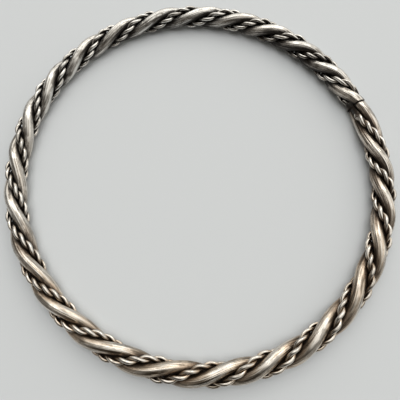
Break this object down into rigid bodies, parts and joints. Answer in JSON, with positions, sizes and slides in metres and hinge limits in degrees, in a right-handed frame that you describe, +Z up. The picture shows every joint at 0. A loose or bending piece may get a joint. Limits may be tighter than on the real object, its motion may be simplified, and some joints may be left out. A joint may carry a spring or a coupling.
{
  "type": "twisted wire bangle",
  "caption": "Closed slip-on bangle of wire rope: heavy round wires laid round each other, with twisted pairs of fine wire in the grooves between them, butted and soldered.",
  "frame": {"origin": "middle of the ring's box, on the surface that the bangle lies on", "axes": "+Z up along the axis that the wrist goes through; the opening's long way lies near the Y axis, and the soldered joint is towards +X"},
  "size_m": [0.0718, 0.0748, 0.0044],
  "materials": {
    "heavy_silver": "drawn silver wire with fine lengthwise die lines, warm and lightly tarnished, brown-black in the grooves",
    "fine_silver": "fine silver wire, bright on the crests and dark where it lies in the grooves",
    "solder": "filed silver solder, dark line between the ends"
  },
  "bodies": {
    "root": {"heavy_wire_a": "heavy_silver", "heavy_wire_b": "heavy_silver", "fine_wire_a1": "fine_silver", "fine_wire_a2": "fine_silver", "fine_wire_b1": "fine_silver", "fine_wire_b2": "fine_silver", "solder_joint": "solder"}
  },
  "joints": []
}
